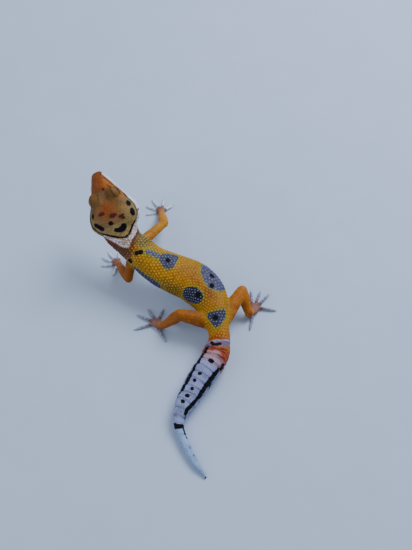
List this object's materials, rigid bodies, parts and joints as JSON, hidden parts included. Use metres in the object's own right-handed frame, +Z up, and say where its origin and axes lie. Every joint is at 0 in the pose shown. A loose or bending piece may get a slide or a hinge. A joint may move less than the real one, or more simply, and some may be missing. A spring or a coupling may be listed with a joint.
{
  "type": "leopard gecko",
  "caption": "Young leopard gecko, life size, standing still with the head raised and turned, toes spread and the banded tail curved behind.",
  "frame": {"origin": "middle of the bottom of the whole animal's box, on the floor it stands on", "axes": "+Y towards the raised snout and away from the tail tip, +X towards the right hind foot, +Z up"},
  "size_m": [0.058, 0.0976, 0.0264],
  "materials": {
    "skin_head": "fine matt scales",
    "skin_body": "matt granular scales with raised round tubercles",
    "skin_limb": "fine matt scales",
    "skin_foot": "thin fine scales, small dark claws",
    "skin_tail": "ringed scales, slight sheen",
    "eye": "wet and glossy, opaque, slit pupil"
  },
  "bodies": {
    "root": {"head": "skin_head", "eye_left": "eye", "eye_right": "eye", "neck": "skin_body", "torso": "skin_body", "tail_base": "skin_tail", "tail_middle": "skin_tail", "tail_tip": "skin_tail", "upper_arm_left": "skin_limb", "upper_arm_right": "skin_limb", "forearm_left": "skin_limb", "forearm_right": "skin_limb", "hand_left": "skin_foot", "hand_right": "skin_foot", "thigh_left": "skin_limb", "thigh_right": "skin_limb", "shank_left": "skin_limb", "shank_right": "skin_limb", "foot_left": "skin_foot", "foot_right": "skin_foot"}
  },
  "joints": []
}
